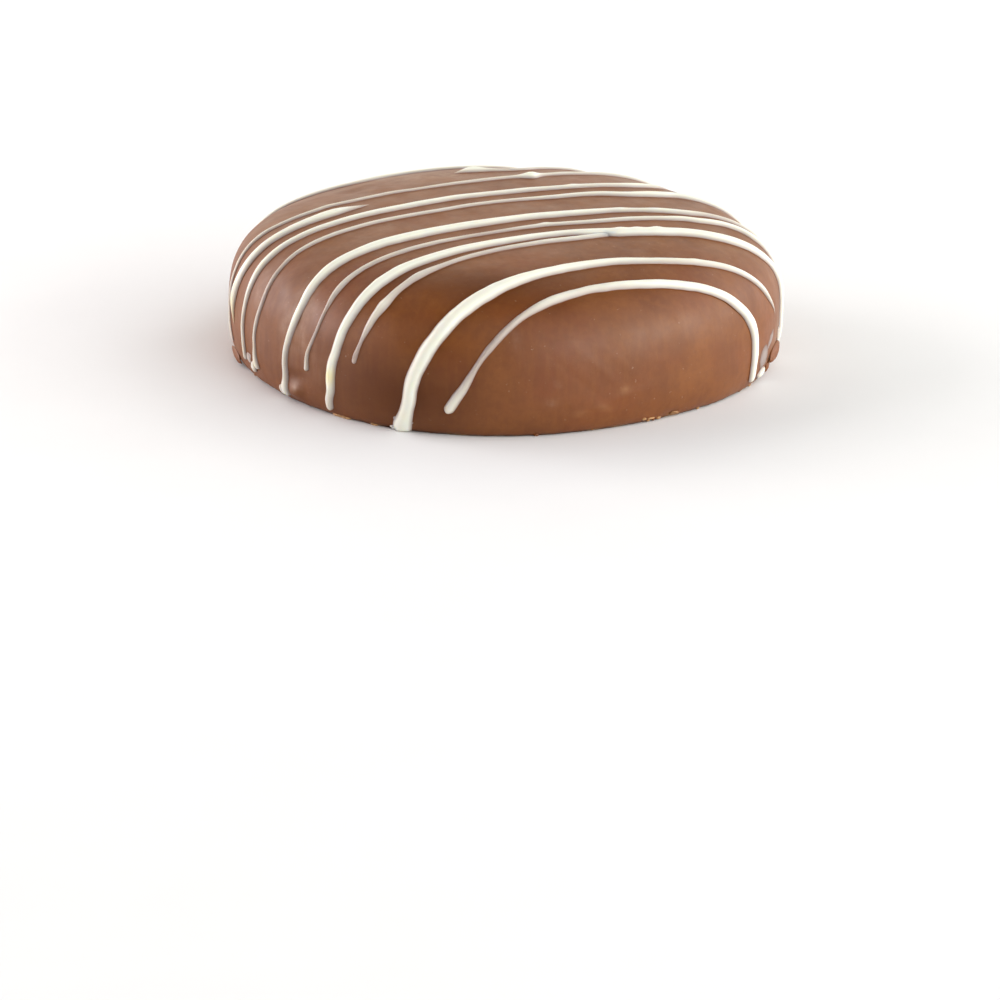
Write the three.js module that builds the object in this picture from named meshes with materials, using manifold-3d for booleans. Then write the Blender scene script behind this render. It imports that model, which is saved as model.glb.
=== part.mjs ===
// A round shortbread biscuit dipped whole in milk chocolate, with white drizzle poured across it.
// Millimetres, +Z up. The flat underside lies at z = 0 with its middle at the origin.
import * as THREE from 'three';
import { mergeVertices } from 'three/addons/utils/BufferGeometryUtils.js';
import Module from 'manifold-3d';

// The coated biscuit: a low dome over a steep side that tucks in at the foot.
const diameter = 70;
const height = 19;
const footDiameter = 66.6;
const widestAt = 5.2;
const topFlatness = 3.8;
const sideSteepness = 3.4;

// How far the outline is out of round: waves around it, their swell and where one peaks, in degrees.
const outOfRound = [
  { waves: 2, swell: 0.6, peak: 40 },
  { waves: 3, swell: 0.35, peak: 34 },
  { waves: 4, swell: 0.5, peak: 76 },
];

// A strand crosses the middle of the top at `across`, square to its heading, which is in degrees
// from +X and turns by `bow` for each millimetre. `slide` is how much of its sideways run is left
// on the steep side. `from` and `to` are its ends, in millimetres along it from the middle.
const strands = [
  { across: 29.5, heading: 30, bow: 0, slide: 0.3, width: 1.3, from: -27, to: 24.5 },
  { across: 25, heading: 31, bow: 0, slide: 0.3, width: 1.1, from: -34, to: 31 },
  { across: 21, heading: 31, bow: 0, slide: 0.3, width: 0.9, from: 7, to: 36 },
  { across: 15.5, heading: 32, bow: 0, slide: 0.35, width: 0.8, from: -36, to: 40 },
  { across: 11.7, heading: 32, bow: 0, slide: 0.3, width: 1.5, from: -40, to: -14 },
  { across: 8, heading: 29.5, bow: -0.1, slide: 0.2, width: 1.3, from: -44.5, to: 46 },
  { across: 4.3, heading: 28, bow: -0.3, slide: 0.1, width: 0.8, from: -46, to: 40 },
  { across: -3.7, heading: 26.7, bow: -0.4, slide: 0.3, width: 1.5, from: -46, to: 46.5 },
  { across: -7.8, heading: 28, bow: -0.4, slide: 0.4, width: 0.8, from: -41, to: 41 },
  { across: -12.2, heading: 26, bow: -0.5, slide: 0.7, width: 1.7, from: -43, to: 43 },
  { across: -13.4, heading: 30.5, bow: -0.5, slide: 0.8, width: 0.9, from: -35.5, to: 1 },
  { across: -23.2, heading: 29.5, bow: -0.4, slide: 0.5, width: 2.1, from: -36.7, to: 34 },
  { across: -28.6, heading: 29.5, bow: -0.3, slide: 0.6, width: 1.3, from: -28, to: 31.5 },
];
const beadHeight = 0.5; // of its width, above and below the coating's surface
const roundedAt = 0.3; // of half its width, where the first ring of a round end stands

// Fineness: the profile and the paths are followed in small links, then drawn with fewer facets.
const dome = 600;
const tuck = 150;
const walkStep = 0.25;
const links = 2;
const mergeWithin = 1e-5;
const aroundBiscuit = 54;
const alongProfile = 16;
const aroundStrand = 6;
const strandStep = 3.2;

const radius = diameter / 2;
const footRadius = footDiameter / 2;
const degree = Math.PI / 180;
const quarterTurn = 90 * degree;

// The profile from the middle of the top to the foot, as a fine chain that knows its own length.
function profileChain() {
  const chain = [];
  for (let i = 0; i <= dome; i += 1) {
    const turn = (i / dome) * quarterTurn;
    const r = radius * Math.sin(turn) ** (2 / topFlatness);
    const z = widestAt + (height - widestAt) * Math.cos(turn) ** (2 / sideSteepness);
    chain.push({ r, z });
  }
  for (let i = 1; i <= tuck; i += 1) {
    const turn = (i / tuck) * quarterTurn;
    const r = footRadius + (radius - footRadius) * Math.cos(turn);
    chain.push({ r, z: widestAt * (1 - Math.sin(turn)) });
  }
  chain[0].length = 0;
  for (let i = 1; i < chain.length; i += 1) {
    const step = Math.hypot(chain[i].r - chain[i - 1].r, chain[i].z - chain[i - 1].z);
    chain[i].length = chain[i - 1].length + step;
  }
  return chain;
}

const chain = profileChain();
const chainLength = chain[chain.length - 1].length;

// The profile's radius, height and downhill direction at a length from the middle of the top.
function profileAt(length) {
  const wanted = THREE.MathUtils.clamp(length, 0, chainLength);
  let low = 0;
  let high = chain.length - 1;
  while (high - low > 1) {
    const middle = (low + high) >> 1;
    if (chain[middle].length <= wanted) low = middle;
    else high = middle;
  }
  const a = chain[low];
  const b = chain[high];
  const span = b.length - a.length;
  const share = (wanted - a.length) / span;
  return {
    r: a.r + (b.r - a.r) * share,
    z: a.z + (b.z - a.z) * share,
    outward: (b.r - a.r) / span,
    downward: (a.z - b.z) / span,
  };
}

function outline(azimuth) {
  let factor = 1;
  for (const { waves, swell, peak } of outOfRound) {
    factor += (swell / radius) * Math.cos(waves * (azimuth - peak * degree));
  }
  return factor;
}

// The biscuit is its profile turned round the axis, then pushed out of round.
function biscuitGeometry() {
  const profile = [];
  for (let i = 0; i <= alongProfile; i += 1) {
    const { r, z } = profileAt((chainLength * i) / alongProfile);
    profile.unshift(new THREE.Vector2(i === 0 ? 0 : r, z));
  }
  profile.unshift(new THREE.Vector2(0, 0));
  const geometry = new THREE.LatheGeometry(profile, aroundBiscuit);
  geometry.rotateX(quarterTurn);
  const position = geometry.getAttribute('position');
  for (let i = 0; i < position.count; i += 1) {
    const factor = outline(Math.atan2(position.getY(i), position.getX(i)));
    position.setXY(i, position.getX(i) * factor, position.getY(i) * factor);
  }
  return geometry;
}

// One end of a strand, walked out from where it crosses the middle. It runs straight on, seen from
// above, and where the surface turns down it slides down the side.
function walkOut(strand, side, reach) {
  const heading = strand.heading * degree;
  let azimuth = heading + quarterTurn * Math.sign(strand.across);
  let length = chain.find((link) => link.r >= Math.abs(strand.across)).length;
  const points = [];
  for (let walked = 0; walked <= reach; walked += walkStep) {
    const { r, z, outward, downward } = profileAt(length);
    const plan = r * outline(azimuth);
    const place = new THREE.Vector3(plan * Math.cos(azimuth), plan * Math.sin(azimuth), z);
    const up = new THREE.Vector3(
      downward * Math.cos(azimuth),
      downward * Math.sin(azimuth),
      outward,
    );
    points.push({ place, up, walked: walked * side });
    const turned = heading + strand.bow * walked * side * degree + (side < 0 ? 2 * quarterTurn : 0);
    const angle = turned - azimuth;
    const sideways = Math.sin(angle) * Math.max(outward, strand.slide);
    const downhill = Math.cos(angle);
    const pace = walkStep / Math.hypot(sideways, downhill);
    length += downhill * pace;
    azimuth += (sideways * pace) / Math.max(r, 1);
  }
  return points;
}

function strandPath(strand) {
  const left = walkOut(strand, -1, Math.abs(strand.from)).reverse();
  const right = walkOut(strand, 1, Math.abs(strand.to));
  const whole = left.concat(right.slice(1));
  return whole.filter(({ walked }) => walked >= strand.from && walked <= strand.to);
}

// Where the rings of a strand stand along its path: close together at its round ends.
function ringPlaces(count, width) {
  const total = (count - 1) * walkStep;
  const end = width / 2;
  const middle = Math.max(2, Math.round((total - 2 * end) / strandStep));
  const places = [0, end * roundedAt];
  for (let i = 0; i <= middle; i += 1) places.push(end + ((total - 2 * end) * i) / middle);
  places.push(total - end * roundedAt, total);
  return { places, total, end };
}

// A strand is a ball drawn out along its path: half of the bead stands above the coating.
function strandGeometry(strand) {
  const path = strandPath(strand);
  const { places, total, end } = ringPlaces(path.length, strand.width);
  const rings = places.length - 1;
  const geometry = new THREE.SphereGeometry(1, aroundStrand, rings);
  const position = geometry.getAttribute('position');
  for (let i = 0; i < position.count; i += 1) {
    const ring = Math.floor(i / (aroundStrand + 1));
    const around = ((i % (aroundStrand + 1)) / aroundStrand) * 4 * quarterTurn;
    const along = places[ring];
    const index = Math.min(path.length - 1, Math.round(along / walkStep));
    const before = path[Math.max(0, index - links)].place;
    const after = path[Math.min(path.length - 1, index + links)].place;
    const { place, up } = path[index];
    const ahead = after.clone().sub(before).normalize();
    const across = new THREE.Vector3().crossVectors(ahead, up).normalize();
    const toEnd = Math.min(along, total - along, end) / end;
    const round = Math.sqrt(Math.max(0, 1 - (1 - toEnd) ** 2));
    const wide = (strand.width / 2) * round * Math.cos(around);
    const tall = strand.width * beadHeight * round * Math.sin(around);
    const point = place.clone().addScaledVector(across, wide).addScaledVector(up, tall);
    position.setXYZ(i, point.x, point.y, point.z);
  }
  return geometry;
}

const wasm = await Module();
wasm.setup();

// A closed solid from a geometry, turned the right way out.
function solidOf(geometry) {
  geometry.deleteAttribute('normal');
  geometry.deleteAttribute('uv');
  const merged = mergeVertices(geometry, mergeWithin);
  const corners = merged.index.array;
  const kept = [];
  for (let i = 0; i < corners.length; i += 3) {
    const [a, b, c] = [corners[i], corners[i + 1], corners[i + 2]];
    if (a !== b && b !== c && c !== a) kept.push(a, b, c);
  }
  const points = merged.getAttribute('position').array;
  if (enclosedVolume(points, kept) < 0) kept.reverse();
  const mesh = new wasm.Mesh({
    numProp: 3,
    vertProperties: Float32Array.from(points),
    triVerts: Uint32Array.from(kept),
  });
  return new wasm.Manifold(mesh);
}

function enclosedVolume(points, corners) {
  const a = new THREE.Vector3();
  const b = new THREE.Vector3();
  const c = new THREE.Vector3();
  let volume = 0;
  for (let i = 0; i < corners.length; i += 3) {
    a.fromArray(points, corners[i] * 3);
    b.fromArray(points, corners[i + 1] * 3);
    c.fromArray(points, corners[i + 2] * 3);
    volume += a.dot(b.cross(c)) / 6;
  }
  return volume;
}

function geometryOf(solid) {
  const { vertProperties, triVerts } = solid.getMesh();
  const geometry = new THREE.BufferGeometry();
  geometry.setAttribute('position', new THREE.BufferAttribute(Float32Array.from(vertProperties), 3));
  geometry.setIndex(new THREE.BufferAttribute(Uint32Array.from(triVerts), 1));
  geometry.computeVertexNormals();
  return geometry;
}

let shortbread = solidOf(biscuitGeometry());
for (const strand of strands) shortbread = shortbread.add(solidOf(strandGeometry(strand)));

const milkChocolate = new THREE.MeshStandardMaterial({
  color: 0x7c4a2d,
  roughness: 0.45,
  metalness: 0,
});
const mesh = new THREE.Mesh(geometryOf(shortbread), milkChocolate);
mesh.name = 'dipped_shortbread';

const group = new THREE.Group();
group.add(mesh);

export default group;
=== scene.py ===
import bisect
import math
import random

import bmesh
import bpy
from mathutils import Matrix, Vector, noise
from mathutils.bvhtree import BVHTree
from mathutils.kdtree import KDTree


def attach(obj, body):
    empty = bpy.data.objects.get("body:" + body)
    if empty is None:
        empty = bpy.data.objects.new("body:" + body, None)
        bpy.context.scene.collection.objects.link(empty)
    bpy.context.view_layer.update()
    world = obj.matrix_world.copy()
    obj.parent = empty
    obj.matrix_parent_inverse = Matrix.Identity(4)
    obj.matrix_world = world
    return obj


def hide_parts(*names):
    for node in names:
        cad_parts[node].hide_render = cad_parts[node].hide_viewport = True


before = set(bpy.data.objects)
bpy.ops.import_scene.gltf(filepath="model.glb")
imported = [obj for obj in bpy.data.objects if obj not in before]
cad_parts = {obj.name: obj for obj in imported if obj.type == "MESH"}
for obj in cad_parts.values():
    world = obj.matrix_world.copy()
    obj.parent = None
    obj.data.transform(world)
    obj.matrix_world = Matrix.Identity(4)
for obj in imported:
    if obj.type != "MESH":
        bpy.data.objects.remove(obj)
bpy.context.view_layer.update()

cadNode = "dipped_shortbread"
mm = 0.001  # shapes are worked out in millimetres and scaled once they are finished
print("frame loaded")


def unevenness(place, span, seed):
    return noise.noise(Vector(place) / span + Vector((seed, seed * 1.7, seed * 0.3)))


def smoothRise(value):
    value = min(1.0, max(0.0, value))
    return value * value * (3 - 2 * value)


def finishPiece(name, bm, material):
    bmesh.ops.scale(bm, vec=(mm, mm, mm), verts=bm.verts)
    mesh = bpy.data.meshes.new(name)
    bm.to_mesh(mesh)
    bm.free()
    mesh.materials.append(material)
    for face in mesh.polygons:
        face.use_smooth = True
    piece = bpy.data.objects.new(name, mesh)
    bpy.context.scene.collection.objects.link(piece)
    return piece


def newMaterial(name):
    material = bpy.data.materials.new(name)
    material.use_nodes = True
    nodes = material.node_tree.nodes
    nodes.clear()
    output = nodes.new("ShaderNodeOutputMaterial")
    shader = nodes.new("ShaderNodeBsdfPrincipled")
    material.node_tree.links.new(shader.outputs["BSDF"], output.inputs["Surface"])
    return material, shader


def addNode(material, kind, inputs=None, **settings):
    node = material.node_tree.nodes.new(kind)
    for key, value in settings.items():
        setattr(node, key, value)
    for key, value in (inputs or {}).items():
        if isinstance(value, bpy.types.NodeSocket):
            material.node_tree.links.new(value, node.inputs[key])
        else:
            node.inputs[key].default_value = value
    return node


def place(material, turn=(0, 0, 0), stretch=(1, 1, 1)):
    where = addNode(material, "ShaderNodeTexCoord").outputs["Object"]
    inputs = {"Vector": where, "Rotation": [math.radians(angle) for angle in turn], "Scale": stretch}
    return addNode(material, "ShaderNodeMapping", inputs).outputs["Vector"]


def spots(material, where, scale, detail, roughness):
    inputs = {"Vector": where, "Scale": scale, "Detail": detail, "Roughness": roughness}
    return addNode(material, "ShaderNodeTexNoise", inputs).outputs["Fac"]


def between(material, value, low, high, toLow=0.0, toHigh=1.0):
    inputs = {"Value": value, "From Min": low, "From Max": high, "To Min": toLow, "To Max": toHigh}
    return addNode(material, "ShaderNodeMapRange", inputs).outputs["Result"]


def clouds(material, where, row):
    scale, detail, roughness, *limits = row
    return between(material, spots(material, where, scale, detail, roughness), *limits)


def combine(material, operation, first, second):
    return addNode(material, "ShaderNodeMath", {0: first, 1: second}, operation=operation).outputs[0]


def painted(material, name):
    return addNode(material, "ShaderNodeAttribute", attribute_name=name).outputs["Fac"]


def blendColours(material, share, first, second):
    mix = addNode(material, "ShaderNodeMix", {0: share, 6: first, 7: second}, data_type="RGBA")
    return mix.outputs[2]


def bumps(material, where, row, under=None):
    scale, detail, roughness, strength, depth = row
    height = spots(material, where, scale, detail, roughness)
    inputs = {"Height": height, "Strength": strength, "Distance": depth}
    if under:
        inputs["Normal"] = under
    return addNode(material, "ShaderNodeBump", inputs).outputs["Normal"]


# A row of noise holds its scale, detail and roughness, the two values it is cut off at, and what
# those become. A row of bumps holds scale, detail, roughness, strength and depth in metres.
milkChocolate = {
    "dark": (0.140, 0.0365, 0.0032, 1),
    "light": (0.198, 0.0600, 0.0070, 1),
    "red": (0.185, 0.0410, 0.0045, 1),
    # pale colour of the bloom, also used for painted sheen and painted highlights
    "paleBloomAndSheen": (0.36, 0.23, 0.155, 1),
    "crumb": (0.52, 0.30, 0.13, 1),
    # painted shade: a darker chocolate laid where shade falls
    "paintedShade": (0.070, 0.0165, 0.0015, 1),
    "mottle": (190, 4, 0.5, 0.3, 0.7, 0, 1),
    "warm": (75, 2, 0.5, 0.5, 0.72, 0, 0.6),
    "wiped": (1300, 4, 0.5, 0.45, 0.7, 0, 0.6),
    "wipedAlong": ((0, 35, 0), (1, 1, 0.1)),  # turn and stretch of its streaks
    "fine": (1200, 3, 0.6, 0.45, 0.68, 0, 0.45),
    "sheenAndBloomClouds": (520, 4, 0.65, 0.3, 0.65, 0.25, 1),
    "sheenAndBloomRuns": (1100, 3, 0.5, 0.35, 0.62, 0.45, 1.25),
    "runsAlong": ((0, 8, 0), (1, 1, 0.15)),
    "flecks": (1700, 2, 0.6, 0.70, 0.78, 0, 0.45),
    "shine": (330, 3, 0.5, 0.3, 0.7, 0.44, 0.56),
    "specular": (0.5, 0.2),  # and where shade is painted on the coat
    "grain": (1500, 3, 0.6, 0.18, 0.00008),
    "ripples": (260, 2, 0.5, 0.22, 0.0003),
    "ior": 1.47,
    "subsurface": (0.06, (1.0, 0.45, 0.25), 0.0006),  # weight, radius and scale
}


def setInside(shader, look):
    weight, radius, scale = look["subsurface"]
    shader.inputs["IOR"].default_value = look["ior"]
    shader.inputs["Subsurface Weight"].default_value = weight
    shader.inputs["Subsurface Radius"].default_value = radius
    shader.inputs["Subsurface Scale"].default_value = scale


def milkChocolateMaterial():
    look = milkChocolate
    material, shader = newMaterial("milk chocolate")
    link = material.node_tree.links.new
    where = place(material)
    paintedShade = painted(material, "paintedShade")
    colour = blendColours(material, clouds(material, where, look["mottle"]), look["dark"], look["light"])
    colour = blendColours(material, clouds(material, where, look["warm"]), colour, look["red"])
    wiped = clouds(material, place(material, *look["wipedAlong"]), look["wiped"])
    colour = blendColours(material, wiped, colour, look["light"])
    colour = blendColours(material, clouds(material, where, look["fine"]), colour, look["dark"])
    # pale bloom together with painted sheen and highlights, where the painted layer and these clouds say
    misty = clouds(material, where, look["sheenAndBloomClouds"])
    runs = clouds(material, place(material, *look["runsAlong"]), look["sheenAndBloomRuns"])
    sheenAndBloom = combine(material, "MULTIPLY", painted(material, "sheenAndBloom"), misty)
    sheenAndBloom = combine(material, "MULTIPLY", sheenAndBloom, runs)
    paleBloomAndSheen = combine(material, "MAXIMUM", sheenAndBloom, clouds(material, where, look["flecks"]))
    colour = blendColours(material, paleBloomAndSheen, colour, look["paleBloomAndSheen"])
    colour = blendColours(material, painted(material, "crumb"), colour, look["crumb"])
    # painted shade darkens the colour and lowers the reflection
    link(blendColours(material, paintedShade, colour, look["paintedShade"]), shader.inputs["Base Color"])
    link(clouds(material, where, look["shine"]), shader.inputs["Roughness"])
    link(between(material, paintedShade, 0, 1, *look["specular"]), shader.inputs["Specular IOR Level"])
    grain = bumps(material, where, look["grain"])
    link(bumps(material, where, look["ripples"], grain), shader.inputs["Normal"])
    setInside(shader, look)
    return material


whiteChocolate = {
    "under": (0.165, 0.048, 0.005, 1),
    "full": (0.775, 0.78, 0.695, 1),
    "thin": (0.26, 0.165, 0.15, 1),
    "butter": (0.84, 0.78, 0.50, 1),
    "thinFrom": 0.06,  # mm of film that just shows
    "fullFrom": 0.46,  # mm of film that hides the chocolate under it
    "butterClouds": (150, 2, 0.5, 0.58, 0.75, 0, 0.15),
    "shine": (500, 3, 0.5, 0.3, 0.7, 0.30, 0.42),
    "ripples": (900, 2, 0.5, 0.12, 0.0001),
    "ior": 1.45,
    "subsurface": (0.7, (1.0, 0.85, 0.6), 0.0009),
}


def whiteChocolateMaterial():
    look = whiteChocolate
    material, shader = newMaterial("white chocolate")
    link = material.node_tree.links.new
    where = place(material)
    film = painted(material, "film")
    butter = combine(material, "MAXIMUM", clouds(material, where, look["butterClouds"]),
                     painted(material, "butter"))
    white = blendColours(material, butter, look["full"], look["butter"])
    edge = between(material, film, 0, look["thinFrom"])
    thin = blendColours(material, edge, look["under"], look["thin"])
    cover = between(material, film, 0, look["fullFrom"])
    link(blendColours(material, cover, thin, white), shader.inputs["Base Color"])
    link(clouds(material, where, look["shine"]), shader.inputs["Roughness"])
    link(bumps(material, where, look["ripples"]), shader.inputs["Normal"])
    setInside(shader, look)
    return material


biscuit = {
    "diameter": 70,
    "height": 19,
    "foot": 66.6,
    "widestAt": 5.2,
    "topFlatness": 3.8,
    "sideSteepness": 3.4,
    "outOfRound": [(2, 0.6, 40), (3, 0.35, 34), (4, 0.5, 76)],  # waves, swell, peak in degrees
    "domeLinks": 600,
    "tuckLinks": 150,
    "around": 440,
    "along": 106,
    "footRounding": 0.35,
    "footRings": 4,
    "underRings": (0.97, 0.9, 0.8, 0.65, 0.5, 0.3, 0.12, 0),  # of the underside's radius
    "mergeWithin": 0.0001,
    "sway": (0.16, 15, 3.1),       # depth, span and seed of the slow unevenness
    "dimples": (0.04, 4.5, 8.7),
    "ragged": (0.16, 1.5, 1.9),    # of the foot's edge
    "raggedFiner": (0.5, 3, 6.3),  # share of that depth, how many times finer, and seed
    "raggedUpTo": 1.3,
    "crumbs": (0.7, 2.4, 5.5),     # share, span and seed of the pale crumb along the foot
    "crumbsFrom": (4, 0.6),        # how steeply they set in, and how rare they are
    "crumbsUpTo": 0.45,
    # azimuth, arc from the middle of the top, half sizes along and up the wall, turn, height
    "marks": [
        (222, 46.5, 1.3, 0.85, 12, 0.75),   # glossy blob by the foot
        (222.5, 44.5, 2.0, 0.7, 10, -0.18),
        (150.6, 22.9, 2.2, 1.5, 0, -0.22),  # dimple on the far left of the top
        (256.5, 42.9, 0.7, 0.6, 0, 0.10),
        (269.1, 42.8, 0.4, 0.3, 0, -0.10),
        (268.0, 42.3, 0.35, 0.3, 0, -0.09),
        (270.6, 43.1, 0.4, 0.25, 0, -0.10),
        (309.3, 48.2, 1.0, 0.5, 0, -0.30),  # nick in the foot
        (237, 29, 5.5, 0.25, -32, 0.05),    # faint scratch on the shoulder
        (223, 38, 0.5, 4.5, 12, -0.10),     # runs that the coat left on the wall
        (229, 40, 0.6, 4.0, 10, 0.08),
        (296, 44, 3.5, 0.5, 10, 0.07),
        (290, 40, 6.0, 0.35, -42, 0.05),    # wiped downwards to the right
        (286, 41.5, 5.0, 0.3, -42, -0.04),
        (295, 39.5, 5.0, 0.3, -40, 0.04),
        (286.0, 45.6, 0.9, 0.35, 10, 0.09),
        (290.8, 45.2, 1.1, 0.5, -15, 0.09),
        (283.0, 44.9, 0.16, 0.14, 0, -0.14),
        (297.5, 46.1, 0.18, 0.14, 0, -0.14),
        (276.8, 44.6, 0.2, 0.16, 0, -0.10),
        (280.4, 42.9, 0.35, 0.12, 30, -0.08),
    ],
    # the same places, and how much pale colour is laid on there: partly chocolate bloom, partly painted
    # sheen and painted highlights
    "sheenAndBloom": [
        # bloom streaks down the left wall, partly painted sheen
        (222.5, 35.5, 1.3, 4.2, 12, 0.70),
        (219.5, 39.0, 1.8, 3.0, 8, 0.50),
        (230.0, 42.0, 2.5, 2.5, 0, 0.15),
        (209.6, 19.5, 5.5, 1.3, -60, 0.30),
        (118.0, 21.5, 4.0, 13.0, 60, 0.30),
        (304.0, 36.5, 3.0, 2.2, 0, 0.06),
        (205.0, 38.0, 2.2, 5.0, 5, 0.30),
        # painted highlight on the glossy blob by the foot
        (222.4, 45.9, 0.85, 0.50, 0, 0.60),
        (222.6, 46.0, 0.30, 0.22, 0, 0.50),
        (226.6, 35.6, 0.5, 1.0, 20, 0.30),
        (225.2, 40.2, 0.5, 1.2, 20, 0.25),
        (279.6, 43.8, 0.7, 0.5, 0, 0.30),
        (281.0, 41.5, 0.35, 0.5, 20, 0.30),
        (311.8, 36.0, 1.0, 1.3, 30, 0.08),
        (272.6, 36.0, 0.9, 2.2, 15, 0.12),
        (80.0, 27.0, 22.0, 8.0, 0, 0.14),       # painted sheen on the far side of the top
        # painted sheen on the top-left edge, the left and right walls and by the right foot
        (183.0, 29.0, 5.0, 4.5, 0, 0.25),
        (190.0, 42.0, 6.0, 4.0, 0, 0.16),
        (353.0, 45.0, 6.0, 3.2, 0, 0.60),
        (358.0, 37.0, 5.0, 4.0, 0, 0.18),
    ],
    # painted shade on the front-left wall, the front shoulder and the hollow above the glossy blob
    "paintedShade": [
        (250.0, 43.8, 9.0, 4.8, 0, 0.75),
        (262.0, 27.0, 14.0, 4.0, -8, 0.45),
        (285.0, 26.0, 10.0, 3.0, 0, 0.25),
        (222.5, 44.2, 2.2, 0.7, 0, 0.30),
    ],
    "tan": [
        (295.9, 43.2, 0.55, 0.40, 20, 0.22),
        (291.0, 45.1, 1.0, 0.45, -15, 0.12),
        (285.8, 45.6, 0.8, 0.35, 10, 0.12),
    ],
    "markReach": 2.6,
}


def profileChain():
    radius = biscuit["diameter"] / 2
    foot = biscuit["foot"] / 2
    widest = biscuit["widestAt"]
    rise = biscuit["height"] - widest
    dome, tuck = biscuit["domeLinks"], biscuit["tuckLinks"]
    points = []
    for i in range(dome + 1):
        turn = i / dome * math.pi / 2
        across = radius * math.sin(turn) ** (2 / biscuit["topFlatness"])
        points.append((across, widest + rise * math.cos(turn) ** (2 / biscuit["sideSteepness"])))
    for i in range(1, tuck + 1):
        turn = i / tuck * math.pi / 2
        points.append((foot + (radius - foot) * math.cos(turn), widest * (1 - math.sin(turn))))
    lengths = [0.0]
    for first, second in zip(points, points[1:]):
        lengths.append(lengths[-1] + math.dist(first, second))
    return points, lengths


chainPoints, chainLengths = profileChain()
chainEnd = chainLengths[-1]


def profileAt(length):
    length = min(max(length, 0.0), chainEnd - 1e-6)
    high = bisect.bisect_right(chainLengths, length)
    (r0, z0), (r1, z1) = chainPoints[high - 1], chainPoints[high]
    span = chainLengths[high] - chainLengths[high - 1]
    share = (length - chainLengths[high - 1]) / span
    return r0 + (r1 - r0) * share, z0 + (z1 - z0) * share, (r1 - r0) / span, (z0 - z1) / span


def outline(azimuth):
    radius = biscuit["diameter"] / 2
    return 1 + sum(swell / radius * math.cos(waves * (azimuth - math.radians(peak)))
                   for waves, swell, peak in biscuit["outOfRound"])


def groundAt(azimuth, length):
    r, z, outward, downward = profileAt(length)
    plan = r * outline(azimuth)
    point = Vector((plan * math.cos(azimuth), plan * math.sin(azimuth), z))
    up = Vector((downward * math.cos(azimuth), downward * math.sin(azimuth), outward))
    return point, up


def axesAt(azimuth, length, turn):
    azimuth, turn = math.radians(azimuth), math.radians(turn)
    point, up = groundAt(azimuth, length)
    rim = Vector((-math.sin(azimuth), math.cos(azimuth), 0))
    rise = up.cross(rim)
    along = rim * math.cos(turn) + rise * math.sin(turn)
    return point, along, rise * math.cos(turn) - rim * math.sin(turn)


def markShares(tree, marks):
    shares = {}
    for azimuth, length, wide, high, turn, amount in marks:
        middle, along, across = axesAt(azimuth, length, turn)
        for point, index, distance in tree.find_range(middle, biscuit["markReach"] * max(wide, high)):
            gap = point - middle
            fall = math.exp(-(gap.dot(along) / wide) ** 2 - (gap.dot(across) / high) ** 2)
            shares[index] = shares.get(index, 0) + amount * fall
    return shares


def coatSection():
    section = []
    rounding = biscuit["footRounding"]
    top = chainEnd - rounding
    for i in range(biscuit["along"] + 1):
        r, z = profileAt(top * i / biscuit["along"])[:2]
        section.append((0 if i == 0 else r, z))
    corner = section[-1][0] - rounding
    for i in range(1, biscuit["footRings"] + 1):
        turn = i / biscuit["footRings"] * math.pi / 2
        section.append((corner + rounding * math.cos(turn), rounding * (1 - math.sin(turn))))
    inner = section[-1][0]
    for share in biscuit["underRings"]:
        section.append((inner * share, 0))
    return section


def coatRelief(point, normal, mark):
    sway, swaySpan, swaySeed = biscuit["sway"]
    push = sway * unevenness(point, swaySpan, swaySeed)
    dimples, dimpleSpan, dimpleSeed = biscuit["dimples"]
    push += dimples * unevenness(point, dimpleSpan, dimpleSeed)
    push += mark
    low = smoothRise(1 - point.z / biscuit["raggedUpTo"])
    ragged, span, seed = biscuit["ragged"]
    share, finer, finerSeed = biscuit["raggedFiner"]
    out = Vector((point.x, point.y, 0)).normalized()
    edge = ragged * (unevenness(point, span, seed) + share * unevenness(point, span / finer, finerSeed))
    return normal * push + out * edge * low


def crumbShare(point):
    most, span, seed = biscuit["crumbs"]
    steep, rare = biscuit["crumbsFrom"]
    edge = smoothRise(1 - point.z / biscuit["crumbsUpTo"])
    return edge * smoothRise(unevenness(point, span, seed) * steep - rare) * most


def makeCoat(material):
    bm = bmesh.new()
    corners = [bm.verts.new((r, 0, z)) for r, z in coatSection()]
    for first, second in zip(corners, corners[1:]):
        bm.edges.new((first, second))
    bmesh.ops.spin(bm, geom=bm.verts[:] + bm.edges[:], cent=(0, 0, 0), axis=(0, 0, 1),
                   angle=2 * math.pi, steps=biscuit["around"], use_merge=True)
    bmesh.ops.remove_doubles(bm, verts=bm.verts, dist=biscuit["mergeWithin"])
    bmesh.ops.recalc_face_normals(bm, faces=bm.faces)
    # painted layers: pale bloom with painted sheen, pale crumb, and painted shade
    sheenAndBloom = bm.verts.layers.float.new("sheenAndBloom")
    crumb = bm.verts.layers.float.new("crumb")
    paintedShade = bm.verts.layers.float.new("paintedShade")
    for vert in bm.verts:
        factor = outline(math.atan2(vert.co.y, vert.co.x))
        vert.co = Vector((vert.co.x * factor, vert.co.y * factor, vert.co.z))
    bm.normal_update()
    tree = KDTree(len(bm.verts))
    for number, vert in enumerate(bm.verts):
        tree.insert(vert.co, number)
    tree.balance()
    raised, sheenAndBloomShares, tanned, shadeShares = [markShares(tree, biscuit[name])
                                       for name in ("marks", "sheenAndBloom", "tan", "paintedShade")]
    moves = [coatRelief(vert.co, vert.normal, raised.get(number, 0))
             for number, vert in enumerate(bm.verts)]
    for number, (vert, move) in enumerate(zip(bm.verts, moves)):
        vert[sheenAndBloom] = sheenAndBloomShares.get(number, 0)
        vert[paintedShade] = shadeShares.get(number, 0)
        if vert.co.z > biscuit["mergeWithin"]:
            vert[crumb] = crumbShare(vert.co) + tanned.get(number, 0)
            vert.co += move
            vert.co.z = max(0, vert.co.z)
    skin = BVHTree.FromBMesh(bm)
    return finishPiece("chocolate_coat", bm, material), skin


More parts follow.
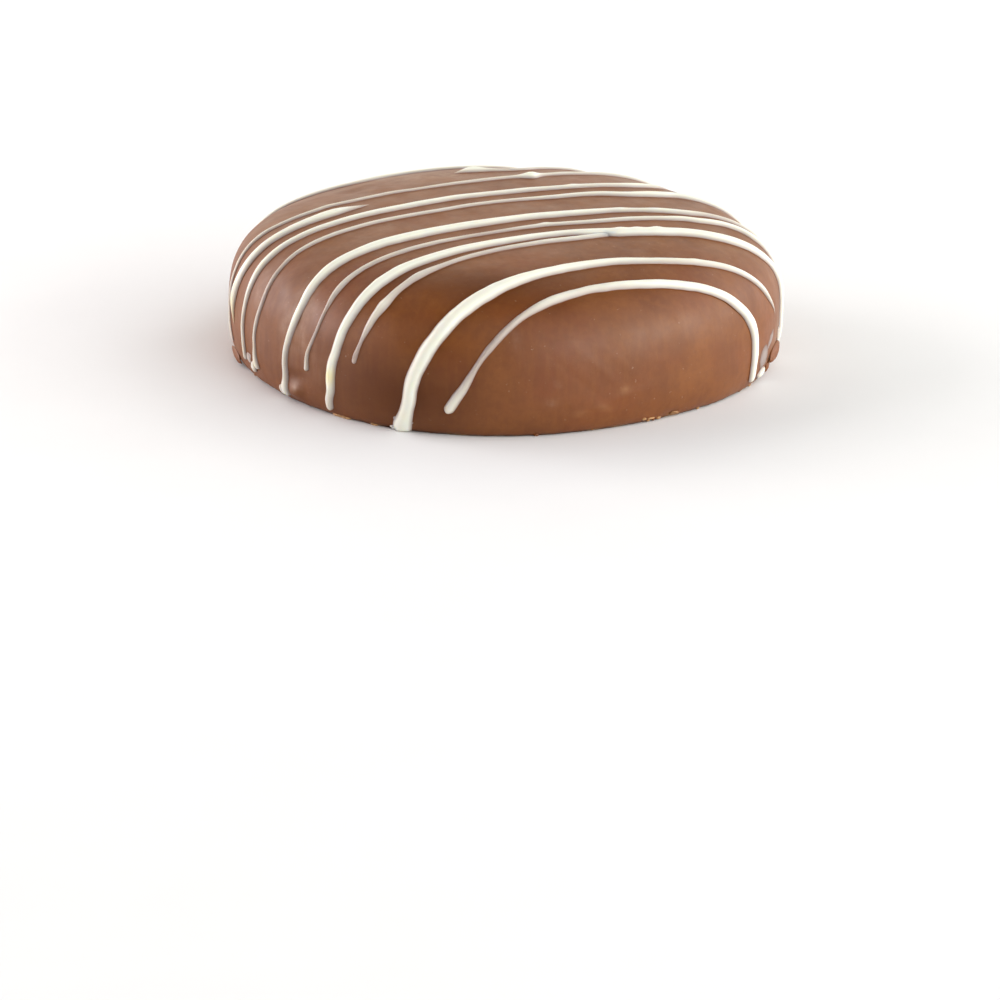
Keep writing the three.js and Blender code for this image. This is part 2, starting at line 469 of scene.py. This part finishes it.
# Flat bits that lie on the coat: azimuth, arc, half sizes along and up the wall, turn, thickness,
# how far the lower edge stands off the wall, how ragged the outline is, and for chocolate bits
# how much of them is pale crumb.
patches = {
    "sides": 18,
    "rings": 10,
    "sink": 0.5,
    "outlineWaves": [(1, 0.7), (0.6, 0.3)],  # share and span
    "flakeSeed": 2.3,
    "crumbSeed": 1.7,
    "smearSeed": 5.1,
    "flakes": [
        (190.5, 47.5, 2.6, 0.75, -8, 0.30, 0.55, 0.30, 0),   # broken rim of the pooled foot, left
        (349.8, 45.5, 2.7, 0.80, 11, 0.35, 0.55, 0.30, 0),   # and right
        (345.8, 47.0, 0.8, 0.80, 0, 0.25, 0.20, 0.35, 0),
        (346.3, 46.2, 0.35, 0.30, 0, 0.20, 0.30, 0.30, 0.6),
        (233.8, 48.5, 0.9, 0.22, 0, 0.22, 0.10, 0.40, 0.8),  # pale crumbs along the foot
        (235.6, 48.6, 0.8, 0.28, 5, 0.25, 0.15, 0.40, 1.0),
        (242.8, 48.5, 0.6, 0.16, 0, 0.18, 0.05, 0.40, 0.7),
        (301.9, 47.9, 0.35, 0.20, 0, 0.15, 0, 0.4, 0.6),
        (303.8, 48.0, 0.50, 0.16, 0, 0.15, 0, 0.4, 0.7),
        (306.0, 48.3, 0.35, 0.22, 0, 0.18, 0, 0.4, 0.6),
        (310.5, 48.1, 0.70, 0.28, 0, 0.22, 0, 0.4, 0.35),
        (318.0, 48.6, 0.30, 0.20, 0, 0.18, 0, 0.4, 0.6),
    ],
    "crumbCount": 26,
    "crumbDraws": 11,  # the seed of the random draws
    "crumbSize": (0.12, 0.38),
    "crumbAbove": (0.25, 0.8),  # the foot's edge
    "crumbSlim": (0.4, 0.8),
    "crumbTurn": (-20, 20),
    "crumbThick": 0.6,
    "crumbRagged": 0.4,
    "crumbPale": (0, 0.3, 0.6),
    "smears": [
        (204.3, 46.4, 0.80, 0.75, 20, 0.42, 0, 0.20),    # foot of the middle thread
        (201.6, 45.6, 1.10, 0.70, 20, 0.14, 0, 0.30),    # web to its neighbour
        (216.5, 47.3, 0.55, 0.75, 0, 0.35, 0, 0.20),     # flare of the middle broad one
        (248.6, 48.1, 1.25, 0.42, 0, 0.38, 0, 0.22),     # spread foot of the front broad strand
        (251.3, 47.1, 0.50, 0.14, 10, 0.20, 0, 0.35),
        (248.5, 46.9, 0.45, 0.50, 0, 0.14, 0, 0.30),
        (341.8, 47.1, 1.30, 0.75, 0, 0.42, 0, 0.22),     # and of the one in front of it
        (354.5, 44.0, 0.75, 0.90, 0, 0.28, 0, 0.20),     # patch low on the right
        (341.6, 44.9, 1.70, 1.60, 0, 0.06, 0, 0.25),     # pale film beside the low strand
        (345.6, 43.2, 1.70, 0.60, 30, 0.06, 0, 0.30),
    ],
}


def addPatch(bm, layer, skin, patch, seed):
    azimuth, length, wide, high, turn, thick, flare, ragged, *crumb = patch
    middle, along, across = axesAt(azimuth, length, turn)
    made = bmesh.ops.create_uvsphere(bm, u_segments=patches["sides"], v_segments=patches["rings"], radius=1)
    for vert in made["verts"]:
        x, y, lift = vert.co
        uneven = 1 + ragged * sum(share * unevenness((x, y, 0), span, seed)
                                  for share, span in patches["outlineWaves"])
        ground, normal = skin.find_nearest(middle + (along * x * wide + across * y * high) * uneven)[:2]
        out = Vector((normal.x, normal.y, 0)) * flare * (1 - y) / 2
        vert.co = ground + normal * lift * thick * (1 if lift > 0 else patches["sink"]) + out
        vert[layer] = crumb[0] if crumb else max(0.0, lift) * thick


def makeFlakes(material, skin):
    bm = bmesh.new()
    crumb = bm.verts.layers.float.new("crumb")
    for number, patch in enumerate(patches["flakes"]):
        addPatch(bm, crumb, skin, patch, patches["flakeSeed"] * number)
    chance = random.Random(patches["crumbDraws"])
    for number in range(patches["crumbCount"]):
        size = chance.uniform(*patches["crumbSize"])
        where = (chance.uniform(0, 360), chainEnd - chance.uniform(*patches["crumbAbove"]))
        high = size * chance.uniform(*patches["crumbSlim"])
        turn = chance.uniform(*patches["crumbTurn"])
        pale = chance.choice(patches["crumbPale"])
        shape = (size, high, turn, size * patches["crumbThick"], 0, patches["crumbRagged"], pale)
        addPatch(bm, crumb, skin, where + shape, patches["crumbSeed"] * number)
    for vert in bm.verts:
        vert.co.z = max(0.0, vert.co.z)
    bmesh.ops.recalc_face_normals(bm, faces=bm.faces)
    return finishPiece("foot_flakes", bm, material)


drizzle = {
    "sides": 20,
    "step": 0.42,
    "walkStep": 0.5,
    "rise": 0.40,        # height of a strand 1 mm wide; wider ones are flatter
    "crown": 1.8,        # 1 is a half ellipse, 2 a parabola, which meets the coat at a low angle
    "flatten": 0.75,
    "sink": 0.40,
    "edgeWander": 0.10,  # of its width
    "edgeSpan": 1.6,
    "edgeSeeds": (4, 9),
    "pathWander": 0.07,
    "wanderSpan": 5.0,
    "seed": 3.7,
    "tipRings": (0, 0.04, 0.15, 0.35, 0.65),  # of half the width at a tip
    "roundUpTo": 1.5,    # halves of the width: a longer tip is drawn out
    "tipPower": 0.75,    # and narrows by this power
    "floorGap": 0.02,
}

# Each strand starts from "across", its distance from the middle of the top, square to its heading
# (degrees from +X), and runs both ways. "bow" is how many degrees it turns a millimetre and "slide"
# what is left of its sideways run on the steep side, each for the left and the right half.
# "course" gives places along it in millimetres, how far it strays towards the viewer, and its width.
# "tips" are the lengths of its two ends. "crests" are small ripples, "butter" yellower stretches and
# "sheer" stretches where the chocolate shows through, each by place, reach and amount.
strands = [
    {"name": "backRim", "across": 29.5, "heading": 30, "bow": (0, 0), "slide": (0.3, 0.3),
     "course": [(-27, 0, 1.2), (-8, 0.3, 1.3), (8, -0.2, 1.2), (24.5, 0.3, 1.3)]},
    {"name": "backEdge", "across": 26, "heading": 30, "bow": (0, 0), "slide": (0.35, 0.35),
     "course": [(-34, 0.2, 1.1), (-22, 0, 1.2), (-12, -0.1, 1.2), (-8, 0.4, 1.2), (-3, -1.0, 1.25),
                (3, -0.7, 1.2), (8, 0.5, 1.1), (20, 0.3, 1.1), (31, 0.4, 1.2)]},
    {"name": "backShort", "across": 22.5, "heading": 28, "bow": (0, 0), "slide": (0.3, 0.3),
     "tips": (2.4, 0.5),
     "course": [(2.6, 1.9, 1.0), (4.6, 1.65, 1.7), (5.8, 1.7, 2.1), (7.4, 2.4, 1.2), (9, 3.1, 0.85),
                (12, 3.4, 0.8), (15, 2.7, 0.85), (18, 2.6, 0.9), (28, 2.0, 1.0), (36, 2.0, 1.1)]},
    {"name": "backFine", "across": 14.7, "heading": 31, "bow": (0, -0.35), "slide": (0.35, 0.35),
     "crests": [(11.5, 0.7, 0.25)],
     "course": [(-42.4, 0.7, 0.7), (-41, 0.2, 0.66), (-39, -0.2, 0.62), (-36, 0.1, 0.62),
                (-33.4, 0.5, 0.68), (-30.6, 0.25, 0.82), (-27, 0.1, 0.88), (-25, 0.4, 0.8),
                (-23, 0.5, 0.78), (-20, 0.55, 0.8), (-17.8, 0.35, 0.8), (-16, 0.55, 0.75),
                (-14, 0.7, 0.75), (-11, 0.5, 0.72), (-8.5, 0.3, 0.72), (-6, 0.4, 0.66),
                (-1, 0.2, 0.7), (3, 0.1, 0.8), (7, 0.35, 0.8), (9.3, 0.6, 0.9), (11.5, 1.15, 1.8),
                (13.2, 0.75, 1.0), (16, 0.6, 0.95), (19, 0.5, 0.95), (25, 0, 1.1), (40, 0, 1.0)]},
    {"name": "tongue", "across": 13.4, "heading": 43, "bow": (0.55, 0.55), "slide": (0.3, 0.3),
     "tips": (3.5, 5), "butter": [(-38, 3, 1)],
     "course": [(-38.4, -0.85, 1.0), (-36, -0.8, 1.6), (-34, -0.4, 1.8), (-32.2, 0.1, 1.75),
                (-30, 0.4, 1.75), (-27, 0.27, 1.68), (-24, 0.22, 1.65), (-20.5, 0.15, 1.75),
                (-17.5, 0.05, 2.0), (-15, 0.1, 1.8), (-13, 0.3, 1.45), (-11, 0.3, 1.25)]},
    {"name": "backBroad", "across": 7.5, "heading": 29.5, "bow": (-0.15, -0.35), "slide": (0.05, 0.3),
     "tips": (0.5, 2.5), "crests": [(13.0, 0.7, 0.16)],
     "course": [(-45.6, -0.4, 1.0), (-44.5, -0.45, 0.9), (-43, -0.5, 0.85), (-41.5, -0.65, 0.85),
                (-39, -0.3, 0.9), (-37, 0.15, 1.05), (-35, 0.35, 1.25), (-32.5, 0.25, 1.4),
                (-28, 0.2, 1.25), (-20, 0.32, 1.3), (-8, 0.15, 1.35), (-1, -0.2, 1.25),
                (6, 0.2, 1.25), (10, 0.58, 1.15), (18, 0.85, 1.15), (21.5, 0.55, 1.35),
                (23.5, 0.1, 1.2), (26, -0.6, 0.9), (27.5, -0.9, 0.6)]},
    {"name": "middleThread", "across": 3.9, "heading": 27.5, "bow": (-0.3, -0.5), "slide": (0.05, 0.3),
     "sheer": [(-36.5, 3, 0.45), (-32, 2.5, 0.3)],
     "course": [(-46.3, -0.3, 1.3), (-45.7, -0.7, 1.25), (-44.8, -0.85, 1.0), (-43.5, -0.85, 0.7),
                (-42, -0.95, 0.68), (-40, -0.4, 0.8), (-37, 0.6, 0.78), (-33, 0.55, 0.78),
                (-30, 0.2, 0.77), (-23, 0.1, 0.85), (-14, 0.08, 0.83), (-9, 0.25, 0.8),
                (2, 0.05, 0.8), (8, 0.35, 1.0), (14, 0.35, 1.2), (18, 0.78, 1.4), (21, 0.55, 1.72),
                (23, 0.25, 1.7), (25, -0.3, 1.6), (28, -0.3, 1.5), (40, -0.2, 1.3)]},
    {"name": "middleBroad", "across": -4.3, "heading": 27, "bow": (-0.4, -0.5), "slide": (0.05, 0.3),
     "crests": [(13.2, 0.7, 0.12)], "sheer": [(-43, 4, 0.3), (26, 4, 0.35)],
     "course": [(-47.1, -1.2, 1.3), (-46.4, -1.4, 1.6), (-45.6, -1.3, 1.6), (-44.6, -1.05, 1.25),
                (-43.5, -1.0, 1.15), (-42.4, -1.05, 1.15), (-41, -0.9, 1.12), (-39, -0.22, 1.2),
                (-37, 0.45, 1.3), (-34.5, 0.87, 1.4), (-33, 0.83, 1.55), (-31.5, 0.68, 1.62),
                (-30, 0.5, 1.68), (-28.5, 0.32, 1.8), (-24, 0.17, 1.85), (-21, 0.03, 2.0),
                (-18, 0.12, 2.1), (-12, 0.14, 1.95), (-6, -0.02, 1.85), (-3, -0.22, 1.75),
                (0, -0.18, 1.66), (3, 0, 1.7), (6, 0.35, 1.6), (9, 0.5, 1.48), (12, 0.57, 1.3),
                (13.5, 0.78, 1.22), (16, 1.0, 1.15), (18, 1.1, 1.38), (21, 1.36, 1.35),
                (22.5, 1.4, 1.35), (24, 1.15, 1.2), (25.5, 0.95, 1.1), (28, 0.7, 1.0),
                (40, 0.5, 0.9)]},
    {"name": "middleFine", "across": -8, "heading": 26.5, "bow": (-0.5, -0.5), "slide": (0.8, 0.3),
     "crests": [(1.6, 0.7, 0.2)], "sheer": [(-35, 5, 0.4), (-22, 9, 0.25), (-6.5, 4, 0.35)],
     "course": [(-41.3, -0.65, 0.85), (-39, -0.5, 0.7), (-36, 0.68, 0.55), (-33, 1.07, 0.57),
                (-30.5, 0.85, 0.95), (-25, 0.5, 0.88), (-15, 0.32, 0.9), (-10, 0.2, 0.78),
                (-4, -0.06, 0.78), (1, 0.1, 0.92), (4, 0.53, 0.92), (9, 0.7, 1.0), (13, 0.75, 1.05),
                (17, 0.88, 1.05), (20, 0.67, 1.28), (22, 0.68, 1.35), (24, 0.3, 1.35),
                (26, -0.1, 1.35), (28, -0.2, 1.4), (30, 0.15, 1.45), (33, 0.4, 1.4), (41, 0.4, 1.2)]},
    {"name": "twinBroad", "across": -12, "heading": 26, "bow": (-0.6, -0.6), "slide": (0.9, 0.5),
     "crests": [(9.5, 0.7, 0.14), (11.6, 0.7, 0.12), (14.2, 0.7, 0.2)], "butter": [(-39.0, 1.0, 1)],
     "sheer": [(-42, 2.5, 0.2)],
     "course": [(-43.8, -0.55, 1.2), (-42.3, -0.5, 1.3), (-41, -0.18, 1.4), (-39, -0.2, 1.55),
                (-37.2, -0.05, 1.5), (-35.6, 0.28, 1.42), (-33, 0.65, 1.42), (-31, 0.9, 1.5),
                (-29, 0.92, 1.65), (-25, 0.8, 1.93), (-21, 0.48, 1.92), (-15, 0.37, 1.8),
                (-9, 0.07, 1.68), (-3, 0.05, 1.5), (1, 0.2, 1.42), (3, 0.5, 1.5), (5, 1.1, 1.9),
                (7, 1.5, 2.15), (9, 1.9, 2.3), (14, 2.13, 2.25), (18, 1.9, 2.12), (21, 1.9, 2.12),
                (23, 1.75, 2.12), (25, 1.5, 2.1), (27, 1.2, 1.95), (29.5, 0.8, 1.7),
                (32, -0.05, 1.6), (36, -1.3, 1.5), (43, -1.8, 1.4)]},
    {"name": "twinFine", "across": -14, "heading": 28.5, "bow": (-0.6, -0.6), "slide": (0.9, 0.9),
     "tips": (0.5, 5), "crests": [(-27.3, 0.7, 0.15)],
     "sheer": [(-35, 3, 0.5), (-23, 9, 0.4), (-8, 6, 0.25)],
     "course": [(-35.7, 0, 0.72), (-34.6, 0.05, 0.72), (-32.8, 0.35, 0.55), (-31, 0.57, 0.9),
                (-29, 0.68, 1.2), (-27.4, 0.8, 1.38), (-25, 0.62, 1.15), (-22.8, 0.5, 1.12),
                (-21, 0.38, 1.35), (-17, 0.27, 0.9), (-13, 0.14, 0.88), (-9, 0.1, 0.9),
                (-6, 0.12, 0.95), (-2, 0.42, 1.05), (3, 0.92, 1.05), (7, 0.75, 1.0), (12, 0.4, 0.9)]},
    {"name": "frontBroad", "across": -23.4, "heading": 28, "bow": (-0.6, -0.3), "slide": (0.8, 0.8),
     "tips": (0.8, 5), "crests": [(14.3, 0.7, 0.12)], "sheer": [(14, 9, 0.25)],
     "course": [(-38.0, 0.35, 2.4), (-36.5, 0.4, 2.5), (-35.3, 0.45, 2.15), (-34, 0.47, 1.87),
                (-32.5, 0.37, 1.93), (-31, 0, 1.98), (-29, -0.22, 1.97), (-26, -0.28, 1.98),
                (-23, -0.17, 2.03), (-17, -0.02, 2.33), (-13, -0.22, 2.23), (-8, -0.22, 1.88),
                (-2, -0.05, 1.76), (4, 0.45, 1.52), (8, 0.88, 1.37), (14, 0.76, 1.35),
                (21, 0.14, 1.2), (25, -0.2, 1.0), (27, -0.38, 0.93), (28.5, -0.7, 0.9),
                (31, -1.3, 0.7)]},
    {"name": "frontLow", "across": -28.7, "heading": 27.5, "bow": (-0.6, 0), "slide": (0.7, 0.3),
     "sheer": [(-18, 9, 0.55), (-2, 7, 0.3)],
     "course": [(-28.4, 0.15, 1.4), (-26.5, 0.27, 1.35), (-24, 0.38, 1.12), (-21, 0.1, 0.75),
                (-18.5, -0.03, 0.97), (-13, -0.1, 1.02), (-9, -0.15, 1.5), (-5, 0.02, 1.42),
                (-3, 0, 1.45), (0, 0.1, 1.56), (6, 0.47, 1.72), (10, 0.6, 1.66), (15, 0.6, 1.6),
                (18, 0.57, 1.65), (20, 0.42, 1.65), (21.5, 0, 1.72), (23, -0.38, 1.78),
                (25, -0.45, 1.68), (27.3, 0.2, 1.7), (29, 0.9, 1.55), (31.3, 1.3, 1.5)]},
]


def courseAt(strand, walked):
    knots = strand["course"]
    i = bisect.bisect_right([knot[0] for knot in knots], walked) - 1
    i = min(max(i, 0), len(knots) - 2)
    span = knots[i + 1][0] - knots[i][0]
    share = min(1.0, max(0.0, (walked - knots[i][0]) / span))
    first, last = knots[max(0, i - 1)], knots[min(len(knots) - 1, i + 2)]
    values = []
    for k in (1, 2):
        start, end = knots[i][k], knots[i + 1][k]
        startSlope = (end - first[k]) / (knots[i + 1][0] - first[0]) * span
        endSlope = (last[k] - start) / (last[0] - knots[i][0]) * span
        bend = (2 * start - 2 * end + startSlope + endSlope) * share
        bend += 3 * (end - start) - 2 * startSlope - endSlope
        values.append(start + (startSlope + bend * share) * share)
    return values


def walkOut(strand, side):
    half = 0 if side < 0 else 1
    step = drizzle["walkStep"]
    heading = math.radians(strand["heading"])
    azimuth = heading + math.copysign(math.pi / 2, strand["across"])
    domeRadii = [r for r, z in chainPoints[:biscuit["domeLinks"]]]
    length = chainLengths[bisect.bisect_left(domeRadii, abs(strand["across"]))]
    reach = strand["course"][-half][0] * side
    points, walked = [], 0.0
    while walked <= reach + step:
        points.append((walked * side, *groundAt(azimuth, length)))
        turned = heading + math.radians(strand["bow"][half] * walked * side) + (0 if half else math.pi)
        angle = turned - azimuth
        r, z, outward, downward = profileAt(length)
        sideways = math.sin(angle) * max(outward, strand["slide"][half])
        downhill = math.cos(angle)
        pace = step / math.hypot(sideways, downhill)
        length += downhill * pace
        azimuth += sideways * pace / max(r, 1)
        walked += step
    return points


def pathAt(path, walked):
    steps = min(max((walked - path[0][0]) / drizzle["walkStep"], 0.0), len(path) - 1.001)
    index = int(steps)
    share = steps - index
    before, after = path[index], path[index + 1]
    point = before[1].lerp(after[1], share)
    ahead = path[min(len(path) - 1, index + 2)][1] - path[max(0, index - 1)][1]
    return point, before[2].lerp(after[2], share).normalized(), ahead.normalized()


def tipShare(distance, tip, half):
    if distance >= tip:
        return 1.0
    share = distance / tip
    rounded = math.sqrt(max(0.0, 1 - (1 - min(1.0, distance / half)) ** 2))
    if tip <= half * drizzle["roundUpTo"]:
        return rounded
    return min(rounded, share ** drizzle["tipPower"])


def sumAround(places, walked):
    return sum(amount * math.exp(-((walked - where) / reach) ** 2) for where, reach, amount in places)


def addStrand(bm, film, butter, strand, skin, seed):
    path = walkOut(strand, -1)[::-1] + walkOut(strand, 1)[1:]
    start = strand["course"][0][0]
    total = strand["course"][-1][0] - start
    halves = [strand["course"][end][2] / 2 for end in (0, -1)]
    tips = strand.get("tips", halves)
    inner = max(4, round((total - sum(halves)) / drizzle["step"]))
    places = [share * halves[0] for share in drizzle["tipRings"]]
    places += [halves[0] + (total - sum(halves)) * i / inner for i in range(inner + 1)]
    places += [total - share * halves[1] for share in drizzle["tipRings"][::-1]]
    rings = []
    for distance in places:
        walked = start + distance
        point, up, ahead = pathAt(path, walked)
        side = ahead.cross(up).normalized()
        shift, width = courseAt(strand, walked)
        wander = drizzle["pathWander"] * noise.noise(Vector((walked / drizzle["wanderSpan"], seed, 0)))
        ground = skin.find_nearest(point + side * (shift + wander))[0]
        share = min(tipShare(distance, tips[0], halves[0]), tipShare(total - distance, tips[1], halves[1]))
        wide = width / 2 * share
        along = walked / drizzle["edgeSpan"]
        far, near = [wide * (1 + drizzle["edgeWander"] * noise.noise(Vector((along, seed, edge))))
                     for edge in drizzle["edgeSeeds"]]
        crest = sumAround(strand.get("crests", ()), walked)
        far += crest * share
        rise = drizzle["rise"] * (2 * wide) ** drizzle["flatten"] * (1 + crest)
        yellow = min(1.0, sumAround(strand.get("butter", ()), walked))
        sheer = sumAround(strand.get("sheer", ()), walked)
        rings.append((ground, side, up, far, near, rise, 2 * wide * drizzle["sink"], yellow, 1 - sheer))
    made = bmesh.ops.create_uvsphere(bm, u_segments=drizzle["sides"], v_segments=len(rings) - 1, radius=1)
    for vert in made["verts"]:
        ring = round(math.acos(max(-1, min(1, vert.co.z))) / math.pi * (len(rings) - 1))
        around = math.atan2(vert.co.y, vert.co.x)
        ground, side, up, far, near, rise, sink, yellow, cover = rings[ring]
        out, lift = math.cos(around), math.sin(around)
        if lift > 0:
            lift **= drizzle["crown"]
        if ring in (0, len(rings) - 1):
            out = lift = 0
        vert.co = ground + side * out * (near if out > 0 else far) + up * lift * (rise if lift > 0 else sink)
        vert[film] = max(0.0, lift) * rise * cover
        vert[butter] = yellow


def makeDrizzle(material, skin):
    bm = bmesh.new()
    film = bm.verts.layers.float.new("film")
    butter = bm.verts.layers.float.new("butter")
    for number, strand in enumerate(strands):
        addStrand(bm, film, butter, strand, skin, drizzle["seed"] * number)
    for number, patch in enumerate(patches["smears"]):
        addPatch(bm, film, skin, patch, patches["smearSeed"] * number)
    for vert in bm.verts:
        vert.co.z = max(drizzle["floorGap"], vert.co.z)
    bmesh.ops.recalc_face_normals(bm, faces=bm.faces)
    return finishPiece("white_drizzle", bm, material)


studio = {
    "floorSize": 3.0,
    "floorCells": 24,
    "floorColour": (0.83, 0.835, 0.85, 1),
    "floorGrain": (60, 3, 0.5, 0.3, 0.7, 0, 1),
    "floorGrey": 0.985,
    "floorRoughness": 0.7,
    "world": (1.0, 1.0, 1.0, 1),
    "worldStrength": 0.03,
    # name, azimuth and elevation in degrees, distance, width, height, power and colour
    "lights": [
        ("right", -40, 38, 0.85, 1.2, 1.2, 7.5, (1, 1, 1)),
        ("rightLow", -20, 14, 0.85, 1.3, 0.42, 6.6, (1, 1, 0.92)),
        ("rightBack", 30, 22, 0.90, 0.8, 0.8, 4.2, (1, 1, 1)),
        ("back", 92, 16, 1.20, 1.5, 1.2, 8.6, (1, 0.96, 0.84)),
        ("left", 174, 12, 0.65, 0.7, 0.5, 6.0, (1, 0.92, 0.92)),
        ("leftBack", 150, 30, 0.75, 0.6, 0.6, 2.0, (1, 0.95, 0.90)),
    ],
}


def makeFloor():
    bm = bmesh.new()
    cells = studio["floorCells"]
    bmesh.ops.create_grid(bm, x_segments=cells, y_segments=cells, size=studio["floorSize"] / 2 / mm)
    material, shader = newMaterial("floor")
    tone = clouds(material, place(material), studio["floorGrain"])
    pale = studio["floorColour"]
    greyer = tuple(c * studio["floorGrey"] for c in pale[:3]) + (1,)
    material.node_tree.links.new(blendColours(material, tone, pale, greyer), shader.inputs["Base Color"])
    shader.inputs["Roughness"].default_value = studio["floorRoughness"]
    floor = finishPiece("floor", bm, material)


def makeLights():
    world = bpy.data.worlds.new("studio")
    bpy.context.scene.world = world
    world.use_nodes = True
    background = world.node_tree.nodes["Background"]
    background.inputs["Color"].default_value = studio["world"]
    background.inputs["Strength"].default_value = studio["worldStrength"]
    aim = Vector((0, 0, biscuit["height"] * mm / 2))
    for name, azimuth, elevation, distance, wide, high, power, colour in studio["lights"]:
        light = bpy.data.lights.new(name, "AREA")
        light.shape = "RECTANGLE"
        light.size = wide
        light.size_y = high
        light.energy = power
        light.color = colour
        flat = math.cos(math.radians(elevation))
        way = Vector((math.cos(math.radians(azimuth)) * flat, math.sin(math.radians(azimuth)) * flat,
                      math.sin(math.radians(elevation))))
        lamp = bpy.data.objects.new(name, light)
        lamp.location = aim + way * distance
        lamp.rotation_euler = way.to_track_quat("Z", "Y").to_euler()
        bpy.context.scene.collection.objects.link(lamp)


photo = {
    "size": 1000,
    "focal": 5000,             # in the photo's pixels
    "middle": (503.8, 352.7),  # where the middle of the biscuit's underside lies in the photo
    "elevation": 17.5,
    "distance": 0.6446,
    "roll": -1.06,
    "sensor": 36.0,
    "nearest": 0.01,
}


def makeCamera():
    half = photo["size"] / 2
    roll = math.radians(photo["roll"])
    x, y = photo["middle"][0] - half, half - photo["middle"][1]
    x, y = x * math.cos(roll) + y * math.sin(roll), -x * math.sin(roll) + y * math.cos(roll)
    dip = math.radians(photo["elevation"]) + math.atan2(y, photo["focal"])
    right = Vector((1, 0, 0))
    up = Vector((0, math.sin(dip), math.cos(dip)))
    ahead = Vector((0, math.cos(dip), -math.sin(dip)))
    sight = (right * x + up * y + ahead * photo["focal"]).normalized()
    turnedRight = right * math.cos(roll) - up * math.sin(roll)
    turnedUp = right * math.sin(roll) + up * math.cos(roll)
    camera = bpy.data.cameras.new("camera")
    camera.sensor_width = photo["sensor"]
    camera.lens = photo["focal"] / photo["size"] * photo["sensor"]
    camera.clip_start = photo["nearest"]
    eye = bpy.data.objects.new("camera", camera)
    eye.matrix_world = Matrix.Translation(-sight * photo["distance"]) @ Matrix(
        (turnedRight, turnedUp, -ahead)).transposed().to_4x4()
    bpy.context.scene.collection.objects.link(eye)
    bpy.context.scene.camera = eye


def fitOut(piece):
    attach(piece, "root")
    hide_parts(cadNode)


makeCamera()
milk = milkChocolateMaterial()
coat, skin = makeCoat(milk)
fitOut(coat)
print("coat made")
fitOut(makeFlakes(milk, skin))
print("flakes made")
fitOut(makeDrizzle(whiteChocolateMaterial(), skin))
print("drizzle made")
makeFloor()
makeLights()
bpy.context.scene.view_settings.view_transform = "Standard"
print("studio made")
